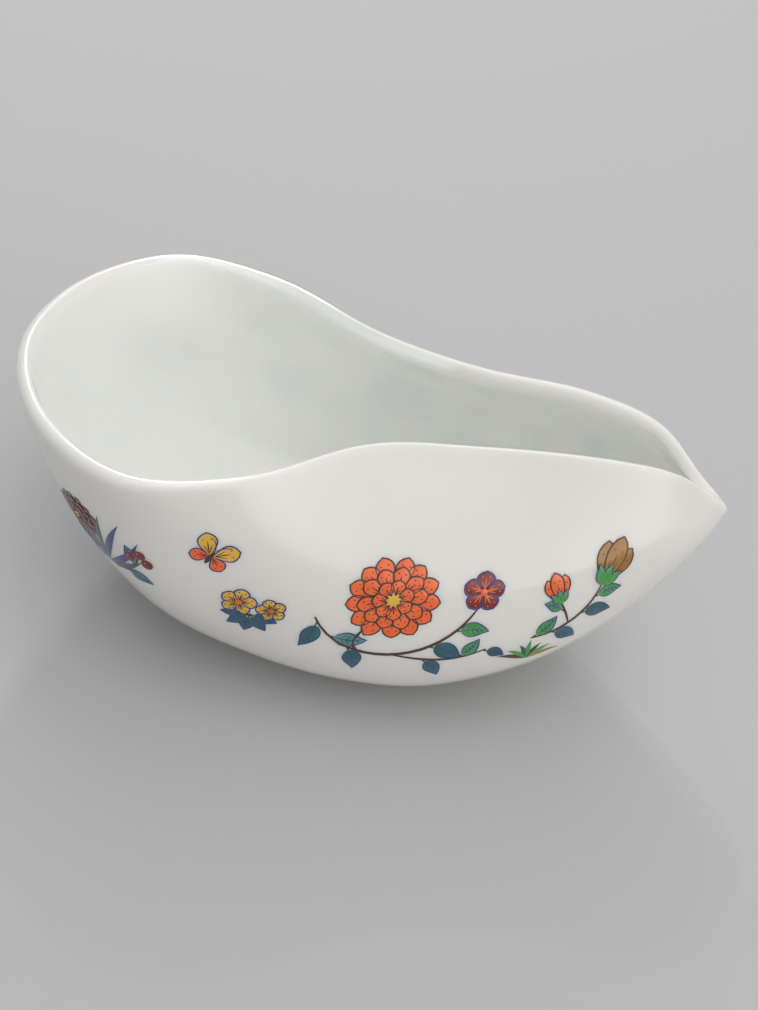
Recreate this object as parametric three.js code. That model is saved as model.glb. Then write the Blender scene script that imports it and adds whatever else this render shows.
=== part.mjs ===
// A small porcelain tea leaf holder: a round open bowl whose rim is pinched into a channel
// and runs out to a pointed pouring lip, on a low oval foot ring.
// Millimetres, +Z up, +X from the round end to the lip, origin on the table under the middle of the length.
import * as THREE from "three";

// Driving sizes of the hull.
const bowlEnd = -62.5; // x of the round end's rim
const lipEnd = 62.5; // x of the pouring lip's point
const wall = 2.6; // porcelain at the sides
const floorWall = 3.2; // porcelain over the foot
const rimCrown = 1.3; // how far the rounded edge stands over the rim line

// The bare foot ring, an oval under the deepest part of the bowl.
const footHeight = 1.6;
const footCentre = -5;
const footHalfLength = 25;
const footHalfWidth = 15;
const footRingWidth = 2.6;

// How finely the skins are cut.
const aroundPerSpan = 6;
const upPerSpan = 3;
const crownSteps = 4;
const footSteps = 48;

// How the inner skin follows the outer one.
const slopeStep = 0.002; // reach over which the slope is taken, as a share of its run
const floorFade = 4; // power by which the floor's thickness gives way to the wall's
const closingFade = 6; // power that keeps the closing up of the two inner walls near the lip
const earliestMeeting = 0.3; // turn before which the two inner walls never meet
const meetingSteps = 12; // halvings that find the turn where they do

// Each line runs from the middle of the round end, along one side, to the lip: [x, half breadth, height].
const rimLine = [
  [bowlEnd, 0, 43.8],
  [-56.1, 19.7, 44.5],
  [-40.7, 31.7, 45.9],
  [-22, 27.8, 48.3],
  [-4, 15.7, 50.4],
  [14, 11.2, 51.1],
  [33, 9.5, 52.5],
  [47, 6.8, 50.9],
  [56, 2, 45.4],
  [lipEnd, 0, 41.2],
];
const shoulderLine = [
  [-59.8, 0, 36.8],
  [-54, 18.7, 37],
  [-39, 30.2, 37.1],
  [-18.5, 31.4, 37],
  [1, 26.9, 37.5],
  [17.5, 22.9, 38.6],
  [35, 18.9, 39.1],
  [49.6, 13, 39.1],
  [58, 5.9, 38.2],
  [61.6, 0, 37.3],
];
const bellyLine = [
  [-54, 0, 26.4],
  [-48.3, 17.4, 25.2],
  [-35, 28.8, 24],
  [-15.5, 31.8, 22.3],
  [3, 31, 21.4],
  [18.7, 28.7, 21.6],
  [34.3, 23.6, 22.4],
  [46.1, 15.4, 24.3],
  [53.6, 7.1, 25.6],
  [56.6, 0, 26.6],
];
const bilgeLine = [
  [-46.1, 0, 16.6],
  [-42, 14.6, 15.3],
  [-31.1, 24.3, 13.4],
  [-14.2, 28.2, 11.4],
  [1.4, 28.7, 10.1],
  [15.7, 27, 10.4],
  [28.2, 22.2, 12],
  [38, 15.1, 14],
  [44.3, 7.6, 15.7],
  [46.7, 0, 16.8],
];
const undersideLine = [
  [-38, 0, 9],
  [-35.1, 11, 8.1],
  [-26.5, 18.8, 7],
  [-12.5, 22.8, 5.8],
  [0.2, 23.7, 5.3],
  [12.7, 22.2, 5.4],
  [22.5, 17.8, 6.2],
  [30.2, 12.2, 7.5],
  [35.3, 6.2, 8.7],
  [37.1, 0, 9.5],
];

const stations = rimLine.length;
const spans = 2 * (stations - 1);
const around = spans * aroundPerSpan;
const lipTurn = 0.5; // the lip is half a turn from the round end

// The foot line is the oval where the skin meets the flat base, with the same stations as the other lines.
const footLine = Array.from({ length: stations }, (_, i) => {
  const angle = (Math.PI * i) / (stations - 1);
  return [footCentre - footHalfLength * Math.cos(angle), footHalfWidth * Math.sin(angle), footHeight];
});

// The other side's points: the same ones mirrored, from the lip back to the round end.
function mirrorOf(side) {
  return side.slice(1, -1).reverse().map((p) => new THREE.Vector3(p.x, -p.y, p.z));
}

// A closed curve from one side's stations and their mirror image.
function loopOf(line) {
  const side = line.map(([x, y, z]) => new THREE.Vector3(x, y, z));
  return new THREE.CatmullRomCurve3([...side, ...mirrorOf(side)], true, "centripetal");
}
const loops = [footLine, undersideLine, bilgeLine, bellyLine, shoulderLine, rimLine].map(loopOf);
const upSteps = upPerSpan * (loops.length - 1);

// A point of the outer skin: turn runs once around from the round end, rise from the foot, 0, to the rim, 1.
function skinPoint(turn, rise) {
  const rib = new THREE.CatmullRomCurve3(loops.map((loop) => loop.getPoint(turn)), false, "centripetal");
  return rib.getPoint(rise);
}

// The same point moved inwards, square to the skin.
function insetPoint(turn, rise, thickness) {
  const ahead = skinPoint(turn + slopeStep, rise).sub(skinPoint(turn - slopeStep, rise));
  const above = Math.min(rise + slopeStep, 1);
  const below = Math.max(rise - slopeStep, 0);
  const up = skinPoint(turn, above).sub(skinPoint(turn, below));
  const inwards = ahead.cross(up).normalize();
  return skinPoint(turn, rise).addScaledVector(inwards, thickness);
}

// How far around the two inner walls run before they meet in front of the pointed lip.
function meetingTurn(rise, thickness) {
  let open = earliestMeeting;
  let shut = lipTurn - 2 * slopeStep;
  if (insetPoint(shut, rise, thickness).y > 0) return lipTurn;
  for (let i = 0; i < meetingSteps; i++) {
    const middle = (open + shut) / 2;
    if (insetPoint(middle, rise, thickness).y > 0) open = middle;
    else shut = middle;
  }
  return open;
}

// One ring of the inner skin. Its points keep level with the outer ones and close up only towards the lip.
function innerRing(rise) {
  const thickness = wall + (floorWall - wall) * (1 - rise) ** floorFade;
  const meeting = meetingTurn(rise, thickness);
  const half = around / 2;
  const side = Array.from({ length: half + 1 }, (_, j) => {
    const turn = j / around;
    const pullBack = (lipTurn - meeting) * (turn / lipTurn) ** closingFade;
    const point = insetPoint(turn - pullBack, rise, thickness);
    if (j === 0 || j === half) point.y = 0;
    return point;
  });
  return [...side, ...mirrorOf(side)];
}

function outerRing(rise) {
  return Array.from({ length: around }, (_, j) => skinPoint(j / around, rise));
}

// The rounded edge that joins the two skins over the rim.
function crownRings(outer, inner) {
  return Array.from({ length: crownSteps - 1 }, (_, k) => {
    const angle = (Math.PI * (k + 1)) / crownSteps;
    return outer.map((p, j) => {
      const point = p.clone().lerp(inner[j], (1 - Math.cos(angle)) / 2);
      point.z += rimCrown * Math.sin(angle);
      return point;
    });
  });
}

// A closed body from rings stacked end to end, with its first and last ring closed by a point in the middle.
function bodyOfRings(rings, firstMiddle, lastMiddle) {
  const count = rings[0].length;
  const positions = rings.flat().concat(firstMiddle, lastMiddle).flatMap((p) => [p.x, p.y, p.z]);
  const faces = [];
  for (let i = 0; i + 1 < rings.length; i++) {
    for (let j = 0; j < count; j++) {
      const a = i * count + j;
      const b = i * count + ((j + 1) % count);
      faces.push(a, a + count, b, b, a + count, b + count);
    }
  }
  const last = (rings.length - 1) * count;
  const firstHub = rings.length * count;
  const lastHub = firstHub + 1;
  for (let j = 0; j < count; j++) {
    const next = (j + 1) % count;
    faces.push(firstHub, j, next);
    faces.push(lastHub, last + next, last + j);
  }
  const geometry = new THREE.BufferGeometry();
  geometry.setAttribute("position", new THREE.Float32BufferAttribute(positions, 3));
  geometry.setIndex(faces);
  geometry.computeVertexNormals();
  return geometry;
}

function porcelainBody() {
  const rises = Array.from({ length: upSteps + 1 }, (_, i) => i / upSteps);
  const outer = rises.map(outerRing);
  const inner = rises.map(innerRing);
  const crown = crownRings(outer.at(-1), inner.at(-1));
  const rings = [...outer, ...crown, ...inner.reverse()];
  const base = new THREE.Vector3(footCentre, 0, footHeight);
  const floor = new THREE.Vector3(footCentre, 0, footHeight + floorWall);
  return bodyOfRings(rings, base, floor);
}

function footRing() {
  const outline = new THREE.Shape().absellipse(0, 0, footHalfLength, footHalfWidth, 0, 2 * Math.PI, false);
  const boreLength = footHalfLength - footRingWidth;
  const boreWidth = footHalfWidth - footRingWidth;
  outline.holes.push(new THREE.Path().absellipse(0, 0, boreLength, boreWidth, 0, 2 * Math.PI, true));
  const options = { depth: footHeight, bevelEnabled: false, curveSegments: footSteps };
  return new THREE.ExtrudeGeometry(outline, options);
}

const glazedPorcelain = new THREE.MeshStandardMaterial({ color: 0xe4e6e4, roughness: 0.12, metalness: 0 });
const bareClay = new THREE.MeshStandardMaterial({ color: 0xd9cdb8, roughness: 0.85, metalness: 0 });

const holder = new THREE.Group();

const body = new THREE.Mesh(porcelainBody(), glazedPorcelain);
body.name = "porcelain_body";
holder.add(body);

const foot = new THREE.Mesh(footRing(), bareClay);
foot.name = "foot_ring";
foot.position.x = footCentre;
holder.add(foot);

export default holder;
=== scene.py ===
"""A porcelain tea leaf holder, dressed with a clear glaze and painted enamels."""

import math
import random

import bmesh
import bpy
from mathutils import Matrix, Vector
from mathutils.bvhtree import BVHTree


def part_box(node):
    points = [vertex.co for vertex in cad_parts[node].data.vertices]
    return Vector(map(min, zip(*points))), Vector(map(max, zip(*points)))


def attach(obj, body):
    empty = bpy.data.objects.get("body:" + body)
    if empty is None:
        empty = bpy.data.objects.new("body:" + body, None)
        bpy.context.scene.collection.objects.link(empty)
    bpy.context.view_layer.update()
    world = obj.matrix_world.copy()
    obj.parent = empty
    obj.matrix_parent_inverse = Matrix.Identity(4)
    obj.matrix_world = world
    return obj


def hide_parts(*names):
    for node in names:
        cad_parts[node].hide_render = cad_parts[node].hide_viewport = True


bl_info = {
    "name": "Tea leaf holder",
    "version": (1, 0, 0),
    "blender": (4, 5, 0),
    "location": "View3D > Sidebar > Tea Leaf Holder",
    "description": "Glazed porcelain tea leaf holder with painted enamel flowers",
    "category": "Object",
}

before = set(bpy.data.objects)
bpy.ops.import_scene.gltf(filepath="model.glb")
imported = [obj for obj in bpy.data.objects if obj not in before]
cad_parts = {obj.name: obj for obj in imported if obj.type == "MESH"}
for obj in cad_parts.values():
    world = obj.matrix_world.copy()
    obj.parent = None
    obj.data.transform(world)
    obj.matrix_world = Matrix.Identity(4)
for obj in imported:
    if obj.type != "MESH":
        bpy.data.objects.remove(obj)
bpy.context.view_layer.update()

MM = 0.001

# Enamels and the underglaze blue, as linear colours: the full stroke and where the brush ran dry.
ENAMELS = {
    "orange": ((0.84, 0.10, 0.010), (0.90, 0.25, 0.06)),
    "red_brown": ((0.20, 0.014, 0.006), (0.42, 0.06, 0.02)),
    "dark_red": ((0.15, 0.003, 0.005), (0.30, 0.02, 0.02)),
    "yellow": ((0.70, 0.38, 0.02), (0.80, 0.58, 0.16)),
    "ochre": ((0.30, 0.12, 0.010), (0.48, 0.25, 0.04)),
    "brown": ((0.040, 0.012, 0.005), (0.11, 0.04, 0.02)),
    "green": ((0.035, 0.27, 0.03), (0.15, 0.50, 0.11)),
    "teal": ((0.006, 0.085, 0.075), (0.03, 0.20, 0.18)),
    "jade": ((0.06, 0.22, 0.17), (0.20, 0.45, 0.38)),
    "cobalt": ((0.010, 0.020, 0.16), (0.05, 0.09, 0.36)),
}
COLOUR_NAMES = (*ENAMELS, "blue_wash")
LEAF_COLOURS = ("green", "teal", "jade")

# Where a motif faces, in degrees: straight off the near side or straight off the round end.
NEAR_SIDE = -90
ROUND_END = -180

# The studio: an even sky and broad soft glows, each with its direction, focus and colour.
SKY = (0.25, 0.258, 0.265)
GLOWS = (
    ((0.06, -0.02, 1.00), 9, (1.70, 1.68, 1.64)),
    ((0.00, -0.50, 0.87), 9, (0.90, 0.88, 0.85)),
    ((0.75, -0.65, 0.10), 8, (1.75, 1.69, 1.60)),
    ((0.85, -0.45, 0.30), 3, (0.26, 0.25, 0.23)),
    ((-0.80, -0.50, 0.35), 3, (0.18, 0.205, 0.245)),
    ((-0.10, 0.72, 0.67), 10, (1.35, 1.35, 1.35)),
)

# Two small lamps behind the holder that glint on its rim.
LAMP_PLACES = {"glint_high": (-0.18, 0.69, 0.70), "glint_low": (-0.17, 0.77, 0.62)}
LAMP_SIZE = 0.03
LAMP_POWER = 0.7
LAMP_TINT = (1.0, 0.99, 0.97)
HOLDER_MIDDLE = Vector((0.0, 0.0, 0.02))
FLOOR_COLOUR = (0.46, 0.46, 0.465, 1.0)

# The camera, at the photograph's viewing angle as it was fitted. Angles in degrees.
AZIMUTH = -9.87
ELEVATION = 41.46
ROLL = 18.65
DISTANCE = 244.7 * MM
AIM = Vector((3.03, 1.22, 24.0)) * MM
FOCAL_LENGTH = 48.404
SENSOR_HEIGHT = 36


class Socket:
    """A shader socket with arithmetic, so that a pattern is written as an expression."""

    def __init__(self, tree, link):
        self.tree = tree
        self.link = link

    def math(self, operation, other=0.0, swapped=False):
        made = self.tree.nodes.new("ShaderNodeMath")
        made.operation = operation
        first, second = (other, self) if swapped else (self, other)
        plug(self.tree, made.inputs[0], first)
        plug(self.tree, made.inputs[1], second)
        return Socket(self.tree, made.outputs[0])

    def __add__(self, other):
        return self.math("ADD", other)

    def __sub__(self, other):
        return self.math("SUBTRACT", other)

    def __rsub__(self, other):
        return self.math("SUBTRACT", other, True)

    def __mul__(self, other):
        return self.math("MULTIPLY", other)

    __radd__ = __add__
    __rmul__ = __mul__


def plug(tree, inlet, value):
    """Set an input to a number or colour, or link a socket to it."""
    if isinstance(value, Socket):
        tree.links.new(value.link, inlet)
    else:
        inlet.default_value = value


class Shader:
    """The node tree of a material or a world, with one method that makes any node."""

    def __init__(self, holder):
        self.holder = holder
        holder.use_nodes = True
        self.tree = holder.node_tree
        self.tree.nodes.clear()

    def node(self, kind, outlet=0, settings=None, **inputs):
        made = self.tree.nodes.new(kind)
        for key, value in (settings or {}).items():
            setattr(made, key, value)
        for key, value in inputs.items():
            plug(self.tree, made.inputs[key.replace("_", " ")], value)
        return Socket(self.tree, made.outputs[outlet])

    def vector(self, operation, first, second=(0.0, 0.0, 0.0), outlet=0, **inputs):
        """One step of vector or colour maths."""
        made = self.node("ShaderNodeVectorMath", outlet, {"operation": operation}, **inputs)
        plug(self.tree, made.link.node.inputs[0], first)
        plug(self.tree, made.link.node.inputs[1], second)
        return made

    def mix(self, factor, first, second):
        """Blend two colours by a factor."""
        made = self.tree.nodes.new("ShaderNodeMix")
        made.data_type = "RGBA"
        plug(self.tree, made.inputs[0], factor)
        plug(self.tree, made.inputs[6], first)
        plug(self.tree, made.inputs[7], second)
        return Socket(self.tree, made.outputs[2])

    def finish(self, surface, outlet="ShaderNodeOutputMaterial"):
        end = self.tree.nodes.new(outlet)
        self.tree.links.new(surface.link, end.inputs["Surface"])
        return self.holder


def glazed_porcelain(outside, inside, gloss):
    """White body under a clear glaze, with one colour outside and a whiter one on the inner skin:
    painted light that brightens the inside of the bowl.
    """
    shader = Shader(bpy.data.materials.new("glazed_porcelain"))
    place = shader.node("ShaderNodeTexCoord", "Object")
    inner = shader.node("ShaderNodeAttribute", "Fac", {"attribute_name": "inner_skin"})
    cloud = shader.node("ShaderNodeTexNoise", Vector=place, Scale=45.0, Detail=3.0)
    ripple = shader.node("ShaderNodeTexNoise", Vector=place, Scale=160.0, Detail=1.0)
    bump = shader.node("ShaderNodeBump", Height=ripple, Strength=0.04, Distance=0.0002)
    # The inner skin takes the whiter inside colour: painted light for the bowl's inside, not a different
    # glaze.
    tone = shader.mix(inner, outside, inside)
    shade = shader.vector("MULTIPLY", tone, (0.93, 0.95, 0.97))
    surface = shader.node(
        "ShaderNodeBsdfPrincipled",
        Base_Color=shader.mix(cloud * 0.3, tone, shade),
        Roughness=gloss,
        Normal=bump,
    )
    principled = surface.link.node
    principled.inputs["IOR"].default_value = 1.5
    principled.inputs["Coat Weight"].default_value = 0.25
    principled.inputs["Coat Roughness"].default_value = 0.03
    principled.inputs["Subsurface Weight"].default_value = 0.7
    principled.inputs["Subsurface Radius"].default_value = (1.0, 0.9, 0.8)
    principled.inputs["Subsurface Scale"].default_value = 0.0025
    return shader.finish(surface)


def bare_clay(colour):
    """Unglazed biscuit of the foot: dry and faintly speckled."""
    shader = Shader(bpy.data.materials.new("bare_clay"))
    place = shader.node("ShaderNodeTexCoord", "Object")
    grain = shader.node("ShaderNodeTexNoise", Vector=place, Scale=900.0, Detail=2.0)
    bump = shader.node("ShaderNodeBump", Height=grain, Strength=0.3, Distance=0.0001)
    shade = (colour[0] * 0.85, colour[1] * 0.82, colour[2] * 0.78, 1.0)
    surface = shader.node(
        "ShaderNodeBsdfPrincipled",
        Base_Color=shader.mix(grain, colour, shade),
        Roughness=0.85,
        Normal=bump,
    )
    return shader.finish(surface)


def painted_enamel(name):
    """Glossy colour laid with a brush: streaks run along the stroke, which thins towards its end."""
    full, thin = ENAMELS[name]
    shader = Shader(bpy.data.materials.new("enamel_" + name))
    stroke = shader.node("ShaderNodeUVMap", settings={"uv_map": "UVMap"})
    stretch = shader.node("ShaderNodeMapping", Vector=stroke, Scale=(1.5, 9.0, 1.0))
    streaks = shader.node("ShaderNodeTexNoise", Vector=stretch, Scale=1.0, Detail=2.0)
    along = shader.node("ShaderNodeSeparateXYZ", "X", Vector=stroke)
    place = shader.node("ShaderNodeTexCoord", "Object")
    cloud = shader.node("ShaderNodeTexNoise", Vector=place, Scale=500.0, Detail=1.0)
    thin_share = streaks * 1.3 + cloud * 0.9 + along * 0.35 - 0.9
    dry = thin_share.math("MAXIMUM", 0.0).math("MINIMUM", 1.0)
    surface = shader.node(
        "ShaderNodeBsdfPrincipled",
        Base_Color=shader.mix(dry, (*full, 1.0), (*thin, 1.0)),
        Roughness=0.2,
    )
    surface.link.node.inputs["Coat Weight"].default_value = 0.5
    return shader.finish(surface)


def blue_wash():
    """Underglaze blue that has bled: a pale veil along its stroke that is lost towards its edges."""
    shader = Shader(bpy.data.materials.new("blue_wash"))
    stroke = shader.node("ShaderNodeUVMap", settings={"uv_map": "UVMap"})
    across = shader.node("ShaderNodeSeparateXYZ", "Y", Vector=stroke)
    off_middle = (across - 0.5).math("ABSOLUTE") * 2.0
    place = shader.node("ShaderNodeTexCoord", "Object")
    cloud = shader.node("ShaderNodeTexNoise", Vector=place, Scale=900.0, Detail=2.0)
    veil = (1.0 - off_middle) * (cloud + 0.2)
    surface = shader.node(
        "ShaderNodeBsdfPrincipled",
        Base_Color=(0.06, 0.10, 0.42, 1.0),
        Roughness=0.15,
        Alpha=veil.math("MINIMUM", 1.0),
    )
    return shader.finish(surface)


def studio_sky():
    """An even studio that grows brighter towards its broad glows."""
    shader = Shader(bpy.data.worlds.new("studio"))
    towards = shader.node("ShaderNodeTexCoord", "Generated")
    light = SKY
    for direction, focus, colour in GLOWS:
        facing = shader.vector("DOT_PRODUCT", towards, Vector(direction).normalized(), "Value")
        share = facing.math("MAXIMUM", 0.0).math("POWER", focus)
        light = shader.vector("ADD", light, shader.vector("SCALE", colour, Scale=share))
    surface = shader.node("ShaderNodeBackground", Color=light)
    return shader.finish(surface, "ShaderNodeOutputWorld")


def linked(name, mesh):
    """An object for a mesh, in the scene."""
    piece = bpy.data.objects.new(name, mesh)
    bpy.context.scene.collection.objects.link(piece)
    return piece


def merged_copy(node):
    """A merged copy of a frame solid, joined to quads, as a bmesh."""
    work = bmesh.new()
    work.from_mesh(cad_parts[node].data)
    bmesh.ops.remove_doubles(work, verts=work.verts, dist=1e-6)
    bmesh.ops.join_triangles(
        work,
        faces=work.faces,
        angle_face_threshold=math.radians(40),
        angle_shape_threshold=math.radians(60),
    )
    return work


def finished(work, name, materials, node=None, rounding=0):
    """Turn a bmesh into a piece with its finishes, its body and the solid that it stands for."""
    mesh = bpy.data.meshes.new(name)
    work.to_mesh(mesh)
    work.free()
    piece = linked(name, mesh)
    for material in materials:
        mesh.materials.append(material)
    if rounding:
        surface = piece.modifiers.new("rounding", "SUBSURF")
        surface.levels = rounding
        surface.render_levels = rounding
    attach(piece, "root")
    if node:
        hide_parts(node)
    return piece


def mark_inner_skin(work):
    """Mark the inner skin with 1 and the outer skin with 0, the mask for the inside's painted light."""
    layer = work.verts.layers.float.new("inner_skin")
    middle_height = 25 * MM
    keel_start = -35 * MM
    keel_end = 40 * MM
    work.normal_update()
    for vert in work.verts:
        middle = Vector((min(max(vert.co.x, keel_start), keel_end), 0.0, middle_height))
        facing = vert.normal.dot((vert.co - middle).normalized())
        vert[layer] = 1.0 if facing < 0 else 0.0


def ease_lip(work):
    """Make the inside shallower towards the lip's point. How shallow it is there is a guess."""
    layer = work.verts.layers.float["inner_skin"]
    start = 44 * MM
    point = 62 * MM
    least = 0.12
    inside = [vert for vert in work.verts if vert[layer] == 1 and vert.co.x > start]
    crests = [(vert.co.x, vert.co.z) for vert in inside]
    for vert in inside:
        crest = max(z for x, z in crests if abs(x - vert.co.x) < 2 * MM)
        gone = min((vert.co.x - start) / (point - start), 1.0)
        share = 1 - (1 - least) * gone * gone * (3 - 2 * gone)
        vert.co.z = crest - (crest - vert.co.z) * share


def bezier(*points):
    """A curve on the canvas from control points, as a function of 0 to 1."""
    controls = [Vector(p) for p in points]

    def at(along):
        row = controls
        while len(row) > 1:
            row = [a.lerp(b, along) for a, b in zip(row, row[1:])]
        return row[0]

    return at


def petal_width(widest):
    """Half width of a petal: narrow at its root, fullest past its middle, round at its tip."""
    return lambda along: widest * max(math.sin(math.pi * along**1.5), 0.0) ** 0.7


def leaf_width(widest):
    """Half width of a leaf: fullest below its middle, with a drawn-out tip."""
    return lambda along: widest * max(math.sin(math.pi * along**0.75), 0.0) ** 1.1


def line_width(widest, ends=0.3):
    """Half width of a brushed line: pressed in its middle and lifted at its ends."""
    return lambda along: widest * (ends + (1 - ends) * math.sin(math.pi * along))


def at_angle(degrees, length):
    """A step of that length in that direction on the canvas."""
    turn = math.radians(degrees)
    return Vector((math.cos(turn), math.sin(turn))) * length


class Canvas:
    """A patch of the outer skin seen square on. What is drawn on it is pressed back onto the skin."""

    def __init__(self, skin, x, z, heading, turn, scale, mirrored):
        outward = Vector((*at_angle(heading, 1.0), 0.0))
        well_outside = 80 * MM
        start = Vector((x, 0.0, z)) * MM + outward * well_outside
        self.point, self.normal, _, _ = skin.ray_cast(start, -outward)
        self.skin = skin
        self.scale = scale * MM
        self.mirrored = mirrored
        right = Vector((0, 0, 1)).cross(self.normal).normalized()
        up = self.normal.cross(right)
        swing = Matrix.Rotation(math.radians(turn), 3, self.normal)
        self.right = swing @ right
        self.up = swing @ up
        if mirrored:
            self.right = -self.right

    def press(self, spot, lift):
        """The place in space of a spot on the canvas, that far off the skin."""
        reach = 20 * MM
        flat = self.point + (self.right * spot.x + self.up * spot.y) * self.scale
        hit, normal, _, _ = self.skin.ray_cast(flat + self.normal * reach, -self.normal)
        if hit is None:
            hit, normal, _, _ = self.skin.find_nearest(flat)
        return hit + normal * lift * MM


class Painting:
    """One motif: strokes of several enamels in one mesh, laid on one canvas."""

    def __init__(self, name, canvas, seed):
        self.name = name
        self.canvas = canvas
        self.work = bmesh.new()
        self.chance = random.Random(seed)

    def pick(self, colours=LEAF_COLOURS):
        return self.chance.choice(colours)

    def stroke(self, colour, path, half_width, height=0.07, base=0.0, steps=10, across=4):
        """Lay one stroke of enamel along a path: a cushion of that height over its base."""
        made = bmesh.ops.create_grid(
            self.work, x_segments=steps, y_segments=across, size=1.0, calc_uvs=True
        )
        rows = [
            (path(step / steps), heading_of(path, step / steps, 90), half_width(step / steps))
            for step in range(steps + 1)
        ]
        sunk = 0.01
        for vert in made["verts"]:
            step = round((vert.co.x + 1) / 2 * steps)
            share = vert.co.y
            centre, aside, width = rows[step]
            middle = math.sqrt(1 - min(share * share, 1))
            end = min(1.0, 4 * math.sin(math.pi * step / steps))
            lift = base + (height + sunk) * middle * end - sunk
            vert.co = self.canvas.press(centre + at_angle(aside, width * share), lift)
        faces = list({face for vert in made["verts"] for face in vert.link_faces})
        for face in faces:
            face.material_index = COLOUR_NAMES.index(colour)
            face.smooth = True
        if self.canvas.mirrored:
            bmesh.ops.reverse_faces(self.work, faces=faces)

    def edge(self, colour, path, half_width, thickness=0.15, base=0.0, steps=20):
        """Draw a fine line round a petal or leaf. A blue line also bleeds into the glaze round it."""
        start = 0.05

        def rim(along):
            side = 1 if along < 0.5 else -1
            spot = start + (1 - start) * (1 - abs(2 * along - 1))
            return path(spot) + at_angle(heading_of(path, spot, 90), half_width(spot) * side)

        if colour == "cobalt" and base == 0:
            self.stroke("blue_wash", rim, line_width(0.55, 0.8), 0.0, 0.016, steps, 2)
        self.stroke(colour, rim, line_width(thickness, 0.6), 0.05, base + 0.03, steps, 2)

    def line(self, colour, path, thickness=0.12, base=0.0, steps=8):
        """Draw a fine free line."""
        self.stroke(colour, path, line_width(thickness), 0.03, base + 0.07, steps, 2)

    def dot(self, colour, spot, size, base=0.0, height=0.07):
        """A round drop of enamel."""
        spot = Vector(spot)
        reach = Vector((size, 0))
        path = bezier(spot - reach, spot + reach)

        def round_off(along):
            return size * math.sqrt(max(1 - (2 * along - 1) ** 2, 0.0))

        self.stroke(colour, path, round_off, height, base, 8, 4)

    def finish(self, finishes):
        bmesh.ops.remove_doubles(self.work, verts=self.work.verts, dist=1e-8)
        return finished(self.work, self.name, finishes)


def heading_of(path, along, swing=0):
    """The angle in degrees in which a path runs there, swung by so much."""
    small = 1e-3
    ahead = path(min(along + small, 1.0)) - path(max(along - small, 0.0))
    return math.degrees(math.atan2(ahead.y, ahead.x)) + swing


def petal(paint, root, angle, length, width, colour, outline, marks, base=0.0):
    """One petal with its outline, and its veins and dots in the colour for marks."""
    root = Vector(root)
    path = bezier(root, root + at_angle(angle, length))
    shape = petal_width(width)
    paint.stroke(colour, path, shape, 0.04, base + 0.02)
    paint.edge(outline, path, shape, base=base)
    paint.line(marks, lambda along: path(0.1 + 0.55 * along), 0.13, base)
    for side in (-1, 1):
        aside = angle + 90 * side
        vein_end = path(0.5) + at_angle(aside, width * 0.45)
        paint.line(marks, bezier(path(0.1), vein_end), 0.09, base, 5)
        spot = path(0.72) + at_angle(aside, width * 0.42)
        paint.dot(marks, spot, 0.14, base + 0.06, 0.03)


def leaf(paint, root, angle, length, width, colour=None, outline="cobalt", bend=0.0):
    """One leaf with its stalk, outline, midrib and side veins."""
    root = Vector(root)
    stalk = root + at_angle(angle, 0.7)
    paint.stroke("brown", bezier(root, stalk), line_width(0.16, 1.0), 0.05, 0.03, 4, 2)
    tip = stalk + at_angle(angle, length)
    middle = stalk + at_angle(angle, length * 0.5) + at_angle(angle + 90, bend)
    path = bezier(stalk, middle, tip)
    shape = leaf_width(width)
    paint.stroke(colour or paint.pick(), path, shape, 0.04, 0.02, 12)
    paint.edge(outline, path, shape)
    paint.line(outline, lambda along: path(0.02 + 0.86 * along), 0.13)
    for share in (0.22, 0.38, 0.54, 0.68):
        for side in (-1, 1):
            start = path(share)
            stop = path(share + 0.14) + at_angle(angle + 90 * side, shape(share + 0.14) * 0.72)
            paint.line(outline, bezier(start, stop), 0.08, steps=4)


def twig(paint, *points, thickness=0.32):
    """A brushed twig through control points. Its path is handed back, for what grows on it."""
    path = bezier(*points)
    paint.stroke("brown", path, line_width(thickness, 0.5), 0.06, 0.02, 18, 3)
    return path


def leaves_along(paint, path, *leaves):
    """Leaves on a twig. Each one is given as its share along, its side, its length and its width."""
    for share, side, length, width in leaves:
        angle = heading_of(path, share, side * paint.chance.uniform(38, 54))
        leaf(paint, path(share), angle, length, width, bend=-side * length * 0.13)


def many_petalled_flower(paint, centre, radius, colour="orange", outline="brown"):
    """An open flower of three rings of narrow petals round a yellow eye."""
    centre = Vector(centre)
    rings = ((13, 0.34, 1.00, 0.20), (10, 0.22, 0.74, 0.18), (7, 0.08, 0.48, 0.16))
    for layer, (count, inner, outer, width) in enumerate(rings):
        offset = paint.chance.uniform(0, 360 / count)
        base = 0.1 * layer
        for index in range(count):
            angle = offset + 360 * index / count + paint.chance.uniform(-4, 4)
            length = (outer - inner) * radius * paint.chance.uniform(0.92, 1.05)
            root = centre + at_angle(angle, inner * radius)
            petal(paint, root, angle, length, width * radius, colour, outline, outline, base=base)
    paint.dot("yellow", centre, 0.17 * radius, 0.27)
    for index in range(9):
        spot = centre + at_angle(40 * index, 0.15 * radius)
        paint.dot("brown", spot, 0.03 * radius, 0.32)


def small_blossom(paint, centre, radius, colour="yellow", outline="cobalt", turn=0, marks="brown"):
    """A simple blossom of five round petals."""
    centre = Vector(centre)
    for index in range(5):
        angle = turn + 72 * index
        root = centre + at_angle(angle, 0.06 * radius)
        petal(paint, root, angle, 0.94 * radius, 0.42 * radius, colour, outline, marks)
    paint.dot("orange", centre, 0.17 * radius, 0.10)
    for index in range(5):
        spot = centre + at_angle(turn + 36 + 72 * index, 0.26 * radius)
        paint.dot("brown", spot, 0.05 * radius, 0.08)


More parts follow.
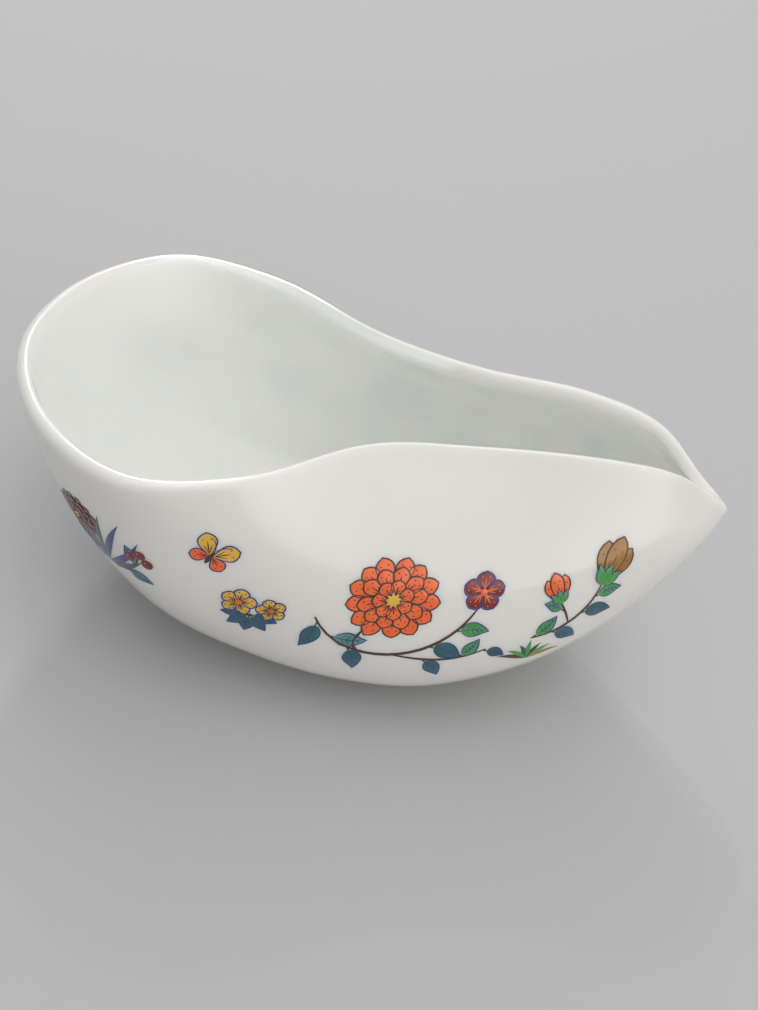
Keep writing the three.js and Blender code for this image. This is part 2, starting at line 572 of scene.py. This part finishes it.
def bud(paint, root, angle, length, colour="ochre", outline="brown"):
    """A scaly bud in a green cup."""
    root = Vector(root)
    for swing, reach, base in ((-18, 0.88, 0.0), (18, 0.88, 0.0), (0, 1.0, 0.09)):
        size = length * reach
        petal(paint, root, angle + swing, size, length * 0.2, colour, outline, outline, base=base)
    for swing in (-34, 34, 0):
        sepal = bezier(root, root + at_angle(angle + swing, length * 0.45))
        shape = leaf_width(length * 0.11)
        paint.stroke("green", sepal, shape, 0.04, 0.2)
        paint.edge("cobalt", sepal, shape, 0.11, 0.18, steps=12)


def berry(paint, spot, size):
    """A dark red berry with a light mark."""
    paint.dot("dark_red", spot, size, 0.08)
    paint.dot("orange", Vector(spot) + Vector((-0.3, 0.35)) * size, size * 0.2, 0.13)


def blade(paint, root, angle, length, width, colour="cobalt", bend=0.0):
    """A long narrow blade of grass."""
    root = Vector(root)
    tip = root + at_angle(angle, length)
    middle = root + at_angle(angle, length * 0.55) + at_angle(angle + 90, bend)
    path = bezier(root, middle, tip)
    if colour == "cobalt":
        paint.stroke("blue_wash", path, leaf_width(width * 1.9), 0.0, 0.016, 14, 2)
    paint.stroke(colour, path, leaf_width(width), 0.06, 0.02, 14, 3)


def butterfly(paint):
    """A butterfly with spotted wings."""
    span = 10
    centre = Vector((0, 0))
    for side in (-1, 1):
        for swing, reach, width, colour in (
            (-30, 0.36, 0.14, "orange"),
            (48, 0.50, 0.17, "yellow"),
        ):
            angle = 90 - side * (90 - swing)
            root = centre + at_angle(90 - side * 90, 0.02 * span)
            petal(paint, root, angle, reach * span, width * span, colour, "cobalt", "brown")
        feeler = bezier(
            centre + at_angle(90, 0.12 * span),
            centre + at_angle(90 - side * 12, 0.34 * span),
            centre + at_angle(90 - side * 34, 0.42 * span),
        )
        paint.line("cobalt", feeler, 0.1)
    body = bezier(centre - at_angle(90, 0.2 * span), centre + at_angle(90, 0.16 * span))
    paint.stroke("brown", body, leaf_width(0.05 * span), 0.08, 0.09)


def flower_spray(paint):
    """A branch with the big orange flower, a smaller red one and leaves of three greens."""
    main = twig(paint, (-15, -3), (-10, -12), (2, -13), (9, -5), (11.5, 0.8))
    twig(paint, main(0.30), (-9, -8), (-6.5, -4.5))
    side = twig(paint, main(0.46), (3, -10), (9, -11), (15, -7), thickness=0.26)
    leaves_along(
        paint, main,
        (0.03, -1, 5.5, 1.5), (0.13, 1, 5.5, 1.5), (0.24, -1, 5.0, 1.5),
        (0.66, -1, 5.5, 1.6), (0.82, -1, 5.0, 1.4),
    )
    leaves_along(paint, side, (0.40, -1, 4.6, 1.3), (0.76, 1, 4.2, 1.2), (0.98, -1, 3.4, 1.0))
    many_petalled_flower(paint, (-3, 1.5), 7.8)
    small_blossom(paint, (12, 4), 3.6, "dark_red", "cobalt", 20, "orange")


def bud_spray(paint):
    """A twig with two scaly buds."""
    main = twig(paint, (-8, -9), (-2, -8), (2, -4), (3, 1), thickness=0.28)
    side = twig(paint, main(0.42), (-2.6, -4), (-4, -2), thickness=0.22)
    leaves_along(
        paint, main,
        (0.02, 1, 4.8, 1.3), (0.22, -1, 4.8, 1.3), (0.60, -1, 5.4, 1.4), (0.84, -1, 4.4, 1.2),
    )
    leaves_along(paint, side, (0.6, 1, 3.6, 1.0))
    bud(paint, main(1), 72, 9)
    bud(paint, side(1), 112, 6, "orange")


def blossom_scatter(paint):
    """Two yellow blossoms over a fan of leaves."""
    for angle in (188, 228, 268, 312, 350):
        leaf(paint, (0, -1), angle, 4.0, 1.2, "teal")
    small_blossom(paint, (-2.2, 1.4), 3.0, "yellow", "cobalt", 10)
    small_blossom(paint, (3.2, 0.8), 2.5, "yellow", "cobalt", 40)


def reed_flower(paint):
    """A dark red flower before tall blue and teal blades, and a sprig of berries."""
    for angle, length, colour, bend in (
        (40, 10, "teal", -1.4),
        (58, 13, "cobalt", -1.8),
        (76, 14, "cobalt", 1.2),
        (94, 13, "teal", 1.4),
        (112, 12, "cobalt", 1.8),
        (20, 8, "cobalt", 1.2),
    ):
        blade(paint, (1, -8), angle, length, 0.75, colour, bend)
    stalk = twig(paint, (0, -8), (-4, -8), (-5, -2), thickness=0.26)
    leaves_along(paint, stalk, (0.2, -1, 4.6, 1.3), (0.5, 1, 4.2, 1.2))
    sprig = twig(paint, (2, -8), (7, -6), (8, -1), thickness=0.24)
    leaves_along(paint, sprig, (0.4, -1, 4.6, 1.3), (0.75, 1, 4.0, 1.2))
    for step in ((0.2, 1.0), (-1.6, -0.4), (1.6, -0.6)):
        berry(paint, sprig(1) + Vector(step), 1.1)
    many_petalled_flower(paint, (-5, 0.5), 5.0, "dark_red", "brown")


def grass_tuft(paint):
    """A low tuft of grass."""
    for angle, length, colour, bend in (
        (168, 6.0, "brown", -0.9),
        (148, 5.0, "green", -0.8),
        (120, 4.4, "teal", -0.6),
        (92, 4.8, "green", 0.4),
        (64, 4.2, "brown", 0.6),
        (38, 5.0, "green", 0.8),
        (14, 6.2, "ochre", 0.9),
    ):
        blade(paint, (0, 0), angle, length, 0.5, colour, bend)


# Where each motif sits: x and height of its middle, the side it faces in degrees, its turn and its size.
# Each one is repeated, mirrored, on the other side, unless it faces straight off the round end.
LAYOUT = (
    ("flower_spray", flower_spray, 8, 30, NEAR_SIDE, 0, 1.0),
    ("bud_spray", bud_spray, 37, 34, NEAR_SIDE, 0, 1.0),
    ("butterfly", butterfly, -25, 36, NEAR_SIDE, -25, 0.9),
    ("blossom_scatter", blossom_scatter, -17, 26, NEAR_SIDE, 0, 1.0),
    ("grass_tuft", grass_tuft, 31, 20, NEAR_SIDE, 4, 1.0),
    ("reed_flower", reed_flower, -22, 31, -128, 0, 0.95),
    ("end_spray", bud_spray, -36, 33, ROUND_END, 0, 1.0),
)


def outer_skin(context):
    """The finished body's surface, for pressing paint onto it."""
    graph = context.evaluated_depsgraph_get()
    body = bpy.data.objects["glazed_body"].evaluated_get(graph)
    mesh = body.to_mesh()
    points = [vert.co.copy() for vert in mesh.vertices]
    faces = [tuple(face.vertices) for face in mesh.polygons]
    body.to_mesh_clear()
    return BVHTree.FromPolygons(points, faces)


class HolderSettings(bpy.types.PropertyGroup):
    """Colours and sizes of the holder's finish."""

    outside_colour: bpy.props.FloatVectorProperty(
        name="Outside colour",
        description="Colour of the white body under its clear glaze, outside",
        subtype="COLOR",
        size=4,
        default=(0.76, 0.748, 0.72, 1.0),
    )
    # The inside colour is whiter than the outside's: painted light that brightens the bowl's inside, not
    # a different glaze.
    inside_painted_light_colour: bpy.props.FloatVectorProperty(
        name="Inside colour",
        description="Colour of the white body under its clear glaze, inside",
        subtype="COLOR",
        size=4,
        default=(0.905, 0.915, 0.885, 1.0),
    )
    glaze_gloss: bpy.props.FloatProperty(
        name="Glaze roughness",
        description="Roughness of the glaze",
        subtype="FACTOR",
        min=0.0,
        max=1.0,
        default=0.10,
    )
    clay_colour: bpy.props.FloatVectorProperty(
        name="Clay colour",
        description="Colour of the unglazed foot",
        subtype="COLOR",
        size=4,
        default=(0.70, 0.62, 0.50, 1.0),
    )
    foot_bevel: bpy.props.FloatProperty(
        name="Foot bevel",
        description="Rounding of the foot ring's lower edges",
        default=0.4 * MM,
        unit="LENGTH",
    )


class MakeBody(bpy.types.Operator):
    """Make the glazed body"""

    bl_idname = "holder.body"
    bl_label = "Glazed body"

    def execute(self, context):
        settings = context.scene.holder
        work = merged_copy("porcelain_body")
        mark_inner_skin(work)
        ease_lip(work)
        for face in work.faces:
            face.smooth = True
        material = glazed_porcelain(
            settings.outside_colour, settings.inside_painted_light_colour, settings.glaze_gloss
        )
        finished(work, "glazed_body", [material], "porcelain_body", 2)
        return {"FINISHED"}


class MakeFoot(bpy.types.Operator):
    """Make the unglazed foot ring"""

    bl_idname = "holder.foot"
    bl_label = "Foot ring"

    def execute(self, context):
        settings = context.scene.holder
        low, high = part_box("foot_ring")
        work = merged_copy("foot_ring")
        middle_height = (low[2] + high[2]) / 2
        lower_edges = [
            edge
            for edge in work.edges
            if edge.calc_face_angle(0.0) > math.radians(60)
            and edge.verts[0].co.z < middle_height
            and edge.verts[1].co.z < middle_height
        ]
        bmesh.ops.bevel(
            work,
            geom=lower_edges,
            offset=settings.foot_bevel,
            offset_type="OFFSET",
            segments=4,
            profile=0.5,
            affect="EDGES",
            material=-1,
        )
        tuck = 0.3 * MM
        for vert in work.verts:
            if vert.co.z > middle_height:
                vert.co.z += tuck
        for face in work.faces:
            face.smooth = abs(face.normal.z) < 0.99
        material = bare_clay(settings.clay_colour)
        finished(work, "bare_foot", [material], "foot_ring")
        return {"FINISHED"}


class PaintSprays(bpy.types.Operator):
    """Paint the flowers, leaves, berries and butterflies round the outside"""

    bl_idname = "holder.sprays"
    bl_label = "Painted sprays"

    def execute(self, context):
        skin = outer_skin(context)
        finishes = [painted_enamel(name) for name in ENAMELS]
        finishes.append(blue_wash())
        for seed, (name, draw, x, z, heading, turn, scale) in enumerate(LAYOUT):
            sides = [(name, heading, False)]
            if heading != ROUND_END:
                sides.append((name + "_behind", -heading, True))
            for word, facing, mirrored in sides:
                swing = -turn if mirrored else turn
                canvas = Canvas(skin, x, z, facing, swing, scale, mirrored)
                paint = Painting(word, canvas, seed + 20 * mirrored)
                draw(paint)
                paint.finish(finishes)
        return {"FINISHED"}


class MakeStage(bpy.types.Operator):
    """Make the floor, the lights and the camera"""

    bl_idname = "holder.stage"
    bl_label = "Stage"

    def execute(self, context):
        floor_mesh = bpy.data.meshes.new("floor")
        work = bmesh.new()
        bmesh.ops.create_grid(work, x_segments=1, y_segments=1, size=3.0)
        work.to_mesh(floor_mesh)
        work.free()
        floor = linked("floor", floor_mesh)
        shader = Shader(bpy.data.materials.new("pale_floor"))
        surface = shader.node("ShaderNodeBsdfPrincipled", Base_Color=FLOOR_COLOUR, Roughness=0.8)
        floor.data.materials.append(shader.finish(surface))

        context.scene.world = studio_sky()
        for name, place in LAMP_PLACES.items():
            light = bpy.data.lights.new(name, "AREA")
            light.size = LAMP_SIZE
            light.energy = LAMP_POWER
            light.color = LAMP_TINT
            lamp = bpy.data.objects.new(name, light)
            lamp.location = place
            aim = HOLDER_MIDDLE - Vector(place)
            lamp.rotation_euler = aim.to_track_quat("-Z", "Y").to_euler()
            context.scene.collection.objects.link(lamp)

        azimuth = math.radians(AZIMUTH)
        elevation = math.radians(ELEVATION)
        back = Vector((
            math.sin(azimuth) * math.cos(elevation),
            -math.cos(azimuth) * math.cos(elevation),
            math.sin(elevation),
        ))
        camera = bpy.data.cameras.new("camera")
        camera.sensor_fit = "VERTICAL"
        camera.sensor_height = SENSOR_HEIGHT
        camera.lens = FOCAL_LENGTH
        eye = bpy.data.objects.new("camera", camera)
        eye.matrix_world = (
            Matrix.Translation(AIM + back * DISTANCE)
            @ back.to_track_quat("Z", "Y").to_matrix().to_4x4()
            @ Matrix.Rotation(math.radians(ROLL), 4, "Z")
        )
        context.scene.collection.objects.link(eye)
        context.scene.camera = eye
        context.scene.view_settings.view_transform = "Standard"
        return {"FINISHED"}


class HolderPanel(bpy.types.Panel):
    """The pieces of the holder"""

    bl_idname = "VIEW3D_PT_holder"
    bl_label = "Tea leaf holder"
    bl_space_type = "VIEW_3D"
    bl_region_type = "UI"
    bl_category = "Tea Leaf Holder"

    def draw(self, context):
        settings = context.scene.holder
        for name in ("outside_colour", "inside_painted_light_colour", "glaze_gloss", "clay_colour", "foot_bevel"):
            self.layout.prop(settings, name)
        for operator in OPERATORS:
            self.layout.operator(operator.bl_idname)


OPERATORS = (MakeStage, MakeBody, MakeFoot, PaintSprays)
CLASSES = (HolderSettings, *OPERATORS, HolderPanel)


def register():
    for item in CLASSES:
        bpy.utils.register_class(item)
    bpy.types.Scene.holder = bpy.props.PointerProperty(type=HolderSettings)


def unregister():
    del bpy.types.Scene.holder
    for item in reversed(CLASSES):
        bpy.utils.unregister_class(item)


def main():
    register()
    bpy.ops.holder.stage()
    bpy.ops.holder.body()
    bpy.ops.holder.foot()
    bpy.ops.holder.sprays()
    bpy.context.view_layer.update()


if __name__ == "__main__":
    main()
